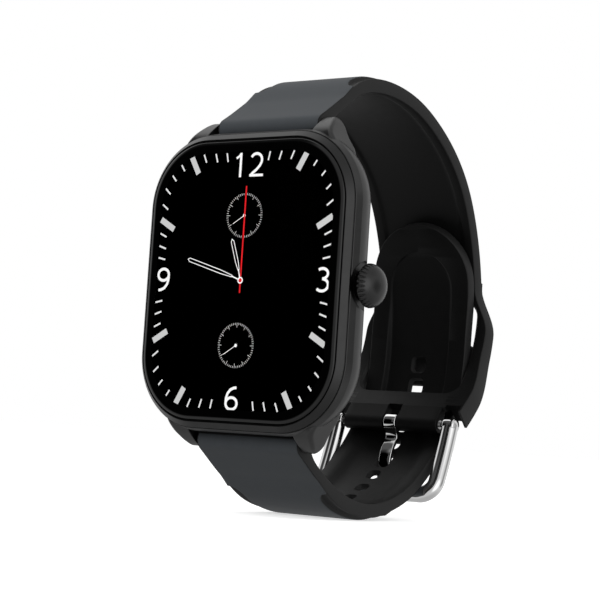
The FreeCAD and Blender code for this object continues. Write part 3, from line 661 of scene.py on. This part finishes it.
def hole_shape(fraction):
    z = hole_line.point(fraction)[1]
    centre_z = TIP_Z - STRAP_HALF_WIDTH
    half_width = STRAP_HALF_WIDTH
    if fraction > 0.5 and z > centre_z:
        half_width = math.sqrt(max(0.02, STRAP_HALF_WIDTH ** 2 - (z - centre_z) ** 2))
    thickness = NECK_THICKNESS + (STRAP_THICKNESS - NECK_THICKNESS) * smoothstep((fraction - JOIN) / 0.11)
    thickness -= (STRAP_THICKNESS - TAIL_THICKNESS) * smoothstep((fraction - 0.25) / 0.07)
    rise = PANEL_RISE * smoothstep((fraction - JOIN) / 0.08) * smoothstep((0.315 - fraction) / 0.06)
    panel_half = groove_edge(fraction, GROOVE_START, 0.285, hole_line.length, half_width)
    recess_end = TIP_Z - 4.5
    reach = 6.4
    recess_half = reach
    if fraction > 0.5 and z > recess_end - reach:
        past = z - recess_end + reach
        recess_half = math.sqrt(max(0.0004, reach ** 2 - past ** 2)) if z < recess_end else 0.02
    scoop = smoothstep((fraction - 0.27) / 0.05) * smoothstep((0.86 - fraction) / 0.14)
    broad = smoothstep((fraction - 0.27) / 0.05) * smoothstep((0.62 - fraction) / 0.08)
    recess = (0.28 + (SCOOP_DEPTH - 0.28) * scoop) * smoothstep((fraction - 0.20) / 0.01)
    recess *= smoothstep(recess_half / 1.5)
    return half_width, thickness, panel_half, rise, recess, recess_half + 1.6 * broad, 1.0 + 3.4 * broad


table_f = np.linspace(0.6, 1.0, 400)
table_z = np.array([hole_line.point(f)[1] for f in table_f])
tail_start = float(np.interp(TIP_Z - STRAP_HALF_WIDTH, table_z, table_f))
stations = spaced(JOIN, GROOVE_START, 0.5, hole_line.length)[:-1]
stations += spaced(GROOVE_START, GROOVE_ROUND_END, 0.22, hole_line.length)[:-1]
stations += spaced(GROOVE_ROUND_END, tail_start, 0.6, hole_line.length)[:-1]
for i in range(26):
    z = TIP_Z - STRAP_HALF_WIDTH + STRAP_HALF_WIDTH * math.sin(math.pi / 2 * i / 25.15)
    stations.append(float(np.interp(z, table_z, table_f)))
hole_strap = strap("hole_strap_silicone", hole_line, -1, JOIN, stations, hole_shape)
# The holes flare towards the wrist; the one that the tongue goes through is the longest.
HOLE_LEVELS = [(-1.5, 0.35), (0.8, 0.35), (1.1, 0.25), (1.35, 0.04), (1.5, 0.0), (TAIL_THICKNESS + 1.5, 0.0)]
holes = []
for i in range(HOLE_COUNT):
    middle = FIRST_HOLE + i * HOLE_PITCH
    half_x, half_length = TAIL_HOLE_HALF if i > LAST_HIDDEN_HOLE else HIDDEN_HOLE_HALF
    if i == TONGUE_HOLE_INDEX:
        half_x, half_length = TONGUE_HOLE_HALF
    reach = half_length / hole_line.length
    holes.append(opening(hole_line, middle - reach, middle + reach, half_x, 0.6, HOLE_LEVELS))
combine(hole_strap, holes + [bore(PIN_BORE, 12.0, (BAR_Y, -BAR_Z)), knob_slot(-1)], "DIFFERENCE")
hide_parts("hole_strap")
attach(hole_strap, "strap_lower")

# ---------------------------------------------------------------- buckle

def arc_through(a, b, c, count):
    """Points on the circle through three (Y, Z) points, from the first to the last."""
    ax, ay, bx, by, cx, cy = *a, *b, *c
    d = 2 * (ax * (by - cy) + bx * (cy - ay) + cx * (ay - by))
    a2, b2, c2 = ax ** 2 + ay ** 2, bx ** 2 + by ** 2, cx ** 2 + cy ** 2
    ux = (a2 * (by - cy) + b2 * (cy - ay) + c2 * (ay - by)) / d
    uy = (a2 * (cx - bx) + b2 * (ax - cx) + c2 * (bx - ax)) / d
    centre, radius = np.array([ux, uy]), math.hypot(ax - ux, ay - uy)
    first, last = math.atan2(ay - uy, ax - ux), math.atan2(cy - uy, cx - ux)
    turn = (last - first + math.pi) % (2 * math.pi) - math.pi
    angles = [first + turn * i / count for i in range(count + 1)]
    return [centre + radius * np.array([math.cos(angle), math.sin(angle)]) for angle in angles]


def sweep(path, side_of, half_a, half_b, power, count=28):
    """Rings of a superellipse section along a path; side_of(tangent) is the section's first direction."""
    rings = []
    for i, point in enumerate(path):
        tangent = unit(path[min(i + 1, len(path) - 1)] - path[max(i - 1, 0)])
        side = side_of(tangent)
        other = np.cross(tangent, side)
        ring = []
        for k in range(count):
            angle = 2 * math.pi * k / count
            c, s = math.cos(angle), math.sin(angle)
            a = math.copysign(abs(c) ** (2 / power), c) * half_a
            b = math.copysign(abs(s) ** (2 / power), s) * half_b
            ring.append(tuple(point + side * a + other * b))
        rings.append(ring)
    return rings


def buckle_path():
    """Arm, rounded corner, crossbar, corner and arm of the buckle frame, as points in space."""
    arm = arc_through(BUCKLE_BAR, ARM_BOW, CROSSBAR, 40)
    lengths = np.concatenate([[0], np.cumsum([np.linalg.norm(b - a) for a, b in zip(arm, arm[1:])])])
    stop = lengths[-1] - BUCKLE_CORNER
    kept = [p for p, at in zip(arm, lengths) if at < stop - 0.05]
    share = np.interp(stop, lengths, range(len(arm)))
    low = int(share)
    turn = arm[low] + (arm[low + 1] - arm[low]) * (share - low)
    kept.append(turn)
    run = unit(arm[low + 1] - arm[low])
    half = [np.array([BUCKLE_ARM_X, p[0], p[1]]) for p in kept]
    for i in range(1, 13):
        angle = math.pi / 2 * i / 12
        x = BUCKLE_ARM_X - BUCKLE_CORNER * (1 - math.cos(angle))
        p = turn + run * BUCKLE_CORNER * math.sin(angle)
        half.append(np.array([x, p[0], p[1]]))
    across = [np.array([half[-1][0] * (1 - 2 * i / 12), half[-1][1], half[-1][2]]) for i in range(1, 12)]
    other = [np.array([-p[0], p[1], p[2]]) for p in reversed(half)]
    return half + across + other, run


path, arm_end_run = buckle_path()


def frame_side(tangent):
    """Direction square to the wire in the plane of the frame."""
    plane = unit(np.cross(np.array([1.0, 0, 0]), np.array([0, *arm_end_run])))
    return unit(np.cross(tangent, plane))


rings = sweep(path, frame_side, 1.4, 1.2, 2.15)
points, faces = loft(rings)
buckle_frame = outward(new_object("buckle_frame_polished", points, faces, [chrome], sharp_angle=50))


def eye(side):
    """Rounded end of a frame arm round the pin."""
    count = 48
    rings = []
    profile = [(10.05, 0.7), (10.09, 0.9), (10.2, 1.08), (10.5, 1.17), (10.9, 1.2), (11.7, 1.2), (12.1, 1.17),
               (12.4, 1.08), (12.51, 0.9), (12.55, 0.7)]
    for x, radius in profile:
        rings.append([(side * x, BUCKLE_BAR[0] + radius * math.cos(2 * math.pi * k / count),
                       BUCKLE_BAR[1] + radius * math.sin(2 * math.pi * k / count)) for k in range(count)])
    points, faces = loft(rings)
    return outward(new_object("eye", points, faces, [chrome]))


combine(buckle_frame, [eye(1), eye(-1)], "UNION", 50)
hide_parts("buckle_frame")
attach(buckle_frame, "buckle")

TONGUE_ROUTE = [(4.55, -1.2), (4.0, -0.4), (2.9, -0.15), (1.75, 0.2), (0.5, 0.95), (-0.7, 2.0), (-2.0, 3.3),
                (-3.4, 4.4), (-5.2, 5.05), (-7.6, 4.8)]
hole_point, hole_run, hole_out = (hole_line.point(TONGUE_HOLE), hole_line.run(TONGUE_HOLE),
                                  hole_line.out(TONGUE_HOLE))
WRAP = PIN_BORE + TONGUE_THICKNESS / 2
route = [bar - hole_run * (WRAP + 0.02)] + [hole_point + hole_run * s + hole_out * d for s, d in TONGUE_ROUTE]
tongue_line = Line(route)


def tongue_solid():
    """Flat strip with rounded edges, from the wrap round the bar to the tip over the crossbar."""
    rings = []
    steps = 60
    for i in range(steps + 1):
        fraction = i / steps
        point = tongue_line.point(fraction)
        run = tongue_line.run(min(0.999, max(0.001, fraction)))
        normal = np.array([run[1], -run[0]])
        taper = 1.0 if i < steps - 4 else (0.98, 0.9, 0.74, 0.45)[i - steps + 3]
        ring = []
        for x, h in rounded_rectangle(TONGUE_WIDTH / 2 * (0.75 + 0.25 * taper), TONGUE_THICKNESS / 2 * taper,
                                      0.16 * taper, 4):
            y, z = point + normal * h
            ring.append((x, y, z))
        rings.append(ring)
    points, faces = loft(rings)
    return outward(new_object("buckle_tongue_polished", points, faces, [chrome], sharp_angle=50))


def tongue_wrap():
    """Closed loop of the strip round the bar."""
    count = 56
    inner, outer = PIN_BORE, PIN_BORE + TONGUE_THICKNESS
    middle, thick = (inner + outer) / 2, (outer - inner) / 2
    outline = rounded_rectangle(TONGUE_WIDTH / 2, thick, 0.16, 4)
    points, faces = [], []
    for k in range(count):
        angle = 2 * math.pi * k / count
        for x, h in outline:
            r = middle + h
            points.append((x, BUCKLE_BAR[0] + r * math.cos(angle), BUCKLE_BAR[1] + r * math.sin(angle)))
    n = len(outline)
    for k in range(count):
        for j in range(n):
            a, b = k * n + j, k * n + (j + 1) % n
            c, d = ((k + 1) % count) * n + (j + 1) % n, ((k + 1) % count) * n + j
            faces.append((a, b, c, d))
    return outward(new_object("wrap", points, faces, [chrome]))


buckle_tongue = combine(tongue_solid(), [tongue_wrap()], "UNION", 50)
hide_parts("buckle_tongue")
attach(buckle_tongue, "tongue")

# ---------------------------------------------------------------- dial

DIAL_Y = 0.97
DIAL_SHIFT = -0.3
LAYER = 0.006


def strokes_object(name, polygons, depth, material):
    """Thin flat shapes, each a list of (x, z) points, on one plane of the display."""
    points, faces = [], []
    for polygon in polygons:
        base = len(points)
        points += [(x + DIAL_SHIFT, depth, z) for x, z in polygon]
        points += [(x + DIAL_SHIFT, depth + LAYER * 0.6, z) for x, z in polygon]
        n = len(polygon)
        faces.append(tuple(range(base, base + n)))
        faces.append(tuple(range(base + 2 * n - 1, base + n - 1, -1)))
        for i in range(n):
            j = (i + 1) % n
            faces.append((base + i, base + n + i, base + n + j, base + j))
    obj = outward(new_object(name, points, faces, [material], sharp_angle=30))
    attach(obj, "case")
    return obj


def bar_shape(x0, z0, x1, z1, width):
    """Straight bar between two points."""
    run = unit(np.array([x1 - x0, z1 - z0]))
    side = np.array([-run[1], run[0]]) * width / 2
    a, b = np.array([x0, z0]), np.array([x1, z1])
    return [tuple(a + side), tuple(a - side), tuple(b - side), tuple(b + side)]


def ribbon_shapes(points, width, closed=False):
    """Quads of a line of constant width through points."""
    pts = [np.array(p, float) for p in points]
    n = len(pts)
    lefts, rights = [], []
    for i in range(n):
        before = pts[i - 1] if (i > 0 or closed) else pts[i]
        after = pts[(i + 1) % n] if (i < n - 1 or closed) else pts[i]
        a = unit(pts[i] - before) if np.linalg.norm(pts[i] - before) > 1e-9 else unit(after - pts[i])
        b = unit(after - pts[i]) if np.linalg.norm(after - pts[i]) > 1e-9 else a
        tangent = unit(a + b)
        side = np.array([-tangent[1], tangent[0]])
        stretch = width / 2 / max(0.5, side @ np.array([-a[1], a[0]]))
        lefts.append(pts[i] + side * stretch)
        rights.append(pts[i] - side * stretch)
    quads = []
    for i in range(n if closed else n - 1):
        j = (i + 1) % n
        quads.append([tuple(lefts[i]), tuple(rights[i]), tuple(rights[j]), tuple(lefts[j])])
    return quads


def arc(cx, cz, rx, rz, start, end, count=18):
    """Points on an ellipse between two angles in degrees."""
    angles = [math.radians(start + (end - start) * i / count) for i in range(count + 1)]
    return [(cx + rx * math.cos(a), cz + rz * math.sin(a)) for a in angles]


def disc(cx, cz, radius, count=28):
    return arc(cx, cz, radius, radius, 0, 360 * (1 - 1 / count), count - 1)


def on_rounded_rectangle(angle, half_x, half_z, radius):
    """Where a ray from the middle, clockwise from 12 o'clock, meets a rounded rectangle."""
    direction = np.array([math.sin(angle), math.cos(angle)])
    low, high = 0.0, 40.0
    for _ in range(40):
        middle = (low + high) / 2
        x, z = abs(direction * middle)
        dx, dz = x - (half_x - radius), z - (half_z - radius)
        inside = (math.hypot(max(dx, 0), max(dz, 0)) + min(max(dx, dz), 0)) < radius
        low, high = (middle, high) if inside else (low, middle)
    return direction * low, direction


ticks, batons = [], []
for minute in range(60):
    angle = math.radians(6 * minute)
    if minute % 5 == 0:
        if minute % 15:
            outer, direction = on_rounded_rectangle(angle, 16.5, 19.6, 7.4)
            inner = outer - direction * 3.15
            batons.append(bar_shape(*outer, *inner, 0.95))
        continue
    near = min(abs(minute - gap) for gap in (0, 15, 30, 45, 60))
    if near == 1:
        continue
    centre, direction = on_rounded_rectangle(angle, 15.85, 18.9, 7.0)
    ticks.append(bar_shape(*(centre + direction * 0.7), *(centre - direction * 0.7), 0.27))
strokes_object("dial_minute_ticks", ticks, DIAL_Y, tick_glow)
strokes_object("dial_hour_batons", batons, DIAL_Y, grey_glow)

NUMERAL_STROKE = 0.43
numerals = []
numerals += [bar_shape(-1.37, 19.55, -1.37, 15.8, NUMERAL_STROKE)]
numerals += ribbon_shapes([(-2.24, 18.72), (-1.75, 19.0), (-1.36, 19.4)], 0.36)
two = arc(1.62, 18.34, 1.06, 1.0, 152, -22, 16) + [(2.35, 17.5), (1.7, 16.85), (1.05, 16.4), (0.66, 16.02)]
numerals += ribbon_shapes(two, NUMERAL_STROKE)
numerals += [bar_shape(0.42, 16.02, 3.03, 16.02, 0.4)]
three_top = arc(15.3, 1.02, 0.98, 0.76, 135, -90, 18)
three_low = arc(15.3, -0.66, 1.12, 0.9, 90, -142, 18)
numerals += ribbon_shapes(three_top, NUMERAL_STROKE) + ribbon_shapes(three_low, NUMERAL_STROKE)


def six(cx, cz, flip):
    """Figure 6, or figure 9 when flipped, centred on a point."""
    bowl = arc(0.0, -0.78, 1.06, 0.9, 0, 340, 26)
    stem = [(-1.06, -0.78), (-1.04, 0.0), (-0.8, 0.72), (-0.3, 1.3), (0.35, 1.58), (0.85, 1.64)]
    shapes = ribbon_shapes(bowl, NUMERAL_STROKE, closed=True) + ribbon_shapes(stem, NUMERAL_STROKE)
    sign = -1 if flip else 1
    return [[(cx + sign * x, cz + sign * z) for x, z in shape] for shape in shapes]


numerals += six(-0.13, -17.9, False) + six(-15.25, 0.06, True)
strokes_object("dial_numerals", numerals, DIAL_Y, white_glow)

for label, centre_z, hand in (("upper", 9.9, (-2.12, 8.64)), ("lower", -9.9, (-2.27, -11.31))):
    marks = []
    for i in range(60):
        angle = math.radians(6 * i)
        direction = np.array([math.sin(angle), math.cos(angle)])
        long = 0.68 if i % 5 == 0 else 0.32
        centre = np.array([0.0, centre_z])
        marks.append(bar_shape(*(centre + direction * 3.43), *(centre + direction * (3.43 - long)), 0.055))
    marks.append(bar_shape(0.0, centre_z, *hand, 0.085))
    marks.append(disc(0.0, centre_z, 0.26))
    strokes_object(f"dial_{label}_subdial", marks, DIAL_Y - LAYER, white_glow)


def outlined_hand(root, tip, half, stroke):
    """Outline of a long hand that is pointed at its tip and narrow at its root."""
    root, tip = np.array(root), np.array(tip)
    run = unit(tip - root)
    side = np.array([-run[1], run[0]])
    length = np.linalg.norm(tip - root)
    outline = [root + side * half * 0.45, root + run * length * 0.25 + side * half,
               tip - run * 0.35 + side * half, tip, tip - run * 0.35 - side * half,
               root + run * length * 0.25 - side * half, root - side * half * 0.45]
    return ribbon_shapes([tuple(p) for p in outline], stroke, closed=True)


hour = outlined_hand((-0.42, 1.6), (-2.05, 6.26), 0.27, 0.12) + [bar_shape(0, 0, -0.45, 1.7, 0.2)]
strokes_object("dial_hour_hand", hour, DIAL_Y - 2 * LAYER, white_glow)
minute = outlined_hand((-1.6, 0.62), (-10.48, 3.27), 0.27, 0.12) + [bar_shape(0, 0, -1.7, 0.65, 0.2)]
strokes_object("dial_minute_hand", minute, DIAL_Y - 3 * LAYER, white_glow)
strokes_object("dial_second_hand", [bar_shape(0.06, 14.41, 0.07, -1.92, 0.25), disc(0.06, 0.0, 0.3)],
               DIAL_Y - 4 * LAYER, red_glow)
strokes_object("dial_hub", ribbon_shapes(disc(0.03, 0.0, 0.42), 0.2, closed=True), DIAL_Y - 5 * LAYER,
               white_glow)


GLASS_HALF = (18.35, 21.4, 9.9)
EDGE_INSET, EDGE_DROP = 1.15, 0.45
CLEAR_INSET = 1.75


def glass_ring(inset, depth):
    outline = rounded_rectangle(GLASS_HALF[0] - inset, GLASS_HALF[1] - inset, GLASS_HALF[2] - inset * 0.6, 20)
    return [(x, depth, z) for x, z in outline]


glass_rings = [glass_ring(CLEAR_INSET, 1.0), glass_ring(0.05, 1.0), glass_ring(0.0, 0.95)]
for i in range(13):
    turn = math.pi / 2 * i / 12
    glass_rings.append(glass_ring(EDGE_INSET * (1 - math.cos(turn)), EDGE_DROP * (1 - math.sin(turn))))
glass_rings.append(glass_ring(CLEAR_INSET, 0.0))
points, faces = loft(glass_rings)
cover_glass = outward(new_object("cover_glass_polished", points, faces, [inked_glass, glass],
                                 [0] * (len(faces) - 2) + [1, 1], 40))
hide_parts("cover_glass")
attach(cover_glass, "case")

# ---------------------------------------------------------------- floor, light and camera

# Soft boxes and dark flags round the watch: direction, full and zero strength angles, brightness.
STUDIO_BASE = 0.68
STUDIO = [
    ((0.0, 0.0, 1.0), 15, 75, 0.55),
    ((0.0, 0.0, -1.0), 25, 80, 0.42),
    ((-0.59, 0.05, 0.80), 14, 40, 1.15),
    ((-0.1, -1.0, 0.0), 20, 50, 0.55),
    ((0.80, -0.59, 0.07), 12, 34, 1.15),
    ((0.9, 0.4, 0.0), 8, 26, 0.28),
    ((0.35, 0.93, 0.0), 10, 30, 0.68),
    ((-0.59, -0.42, 0.65), 12, 26, 0.08),
    ((-0.594, -0.801, 0.07), 22, 36, 0.0),
]


def studio_world():
    """Studio seen in reflections; the backdrop itself is white to the camera."""
    world = bpy.data.worlds.new("studio")
    bpy.context.scene.world = world
    world.use_nodes = True
    nodes, links = world.node_tree.nodes, world.node_tree.links
    place = nodes.new("ShaderNodeTexCoord")
    last = None
    for axis, full, zero, brightness in STUDIO:
        dot = nodes.new("ShaderNodeVectorMath")
        dot.operation = "DOT_PRODUCT"
        dot.inputs[1].default_value = unit(np.array(axis))
        links.new(place.outputs["Generated"], dot.inputs[0])
        share = nodes.new("ShaderNodeMapRange")
        share.interpolation_type = "SMOOTHSTEP"
        share.inputs["From Min"].default_value = math.cos(math.radians(zero))
        share.inputs["From Max"].default_value = math.cos(math.radians(full))
        links.new(dot.outputs["Value"], share.inputs["Value"])
        mix = nodes.new("ShaderNodeMix")
        mix.inputs["A"].default_value = STUDIO_BASE
        mix.inputs["B"].default_value = brightness
        links.new(share.outputs["Result"], mix.inputs["Factor"])
        if last is not None:
            links.new(last, mix.inputs["A"])
        last = mix.outputs["Result"]
    path = nodes.new("ShaderNodeLightPath")
    white = nodes.new("ShaderNodeMix")
    white.inputs["B"].default_value = 1.0
    links.new(path.outputs["Is Camera Ray"], white.inputs["Factor"])
    links.new(last, white.inputs["A"])
    links.new(white.outputs["Result"], nodes["Background"].inputs["Color"])


studio_world()


def area_light(name, place, aim, size, power):
    """Softbox at a place in millimetres, turned to a point."""
    data = bpy.data.lights.new(name, "AREA")
    data.shape = "RECTANGLE"
    data.size, data.size_y = size[0] * MM, size[1] * MM
    data.energy = power
    lamp = bpy.data.objects.new(name, data)
    bpy.context.scene.collection.objects.link(lamp)
    start, end = Vector(to_world([place])[0]), Vector(to_world([aim])[0])
    lamp.location = start
    lamp.rotation_euler = (end - start).to_track_quat("-Z", "Y").to_euler()
    lamp.visible_glossy = False


area_light("key_softbox", (260, 120, 260), (0, 25, 0), (260, 260), 0.25)
area_light("front_softbox", (-60, -260, 160), (0, 25, 0), (300, 300), 0.6)

floor_size, floor_z = 4000.0, float(cad_low.z) / MM
corners = [(-floor_size, -floor_size, floor_z), (floor_size, -floor_size, floor_z),
           (floor_size, floor_size, floor_z), (-floor_size, floor_size, floor_z)]
pale = principled("pale_floor", grey(236), grey(240), 1.0, specular=0.0, scale=20)
pale.node_tree.nodes["Principled BSDF"].inputs["Emission Color"].default_value = (1, 1, 1, 1)
pale.node_tree.nodes["Principled BSDF"].inputs["Emission Strength"].default_value = 0.6
floor = new_object("floor", corners, [(0, 1, 2, 3)], [pale])
floor.visible_glossy = False
floor.visible_diffuse = False

camera_data = bpy.data.cameras.new("camera")
camera_data.sensor_width, camera_data.lens = 36.0, 110.8
camera_data.clip_start, camera_data.clip_end = 0.005, 50.0
camera = bpy.data.objects.new("camera", camera_data)
bpy.context.scene.collection.objects.link(camera)
camera.location = to_world([(173.05, -217.72, -22.94)])[0]
camera.rotation_euler = tuple(math.radians(a) for a in (94.226, -3.718, 36.278))
bpy.context.scene.camera = camera
bpy.context.scene.view_settings.view_transform = "Standard"
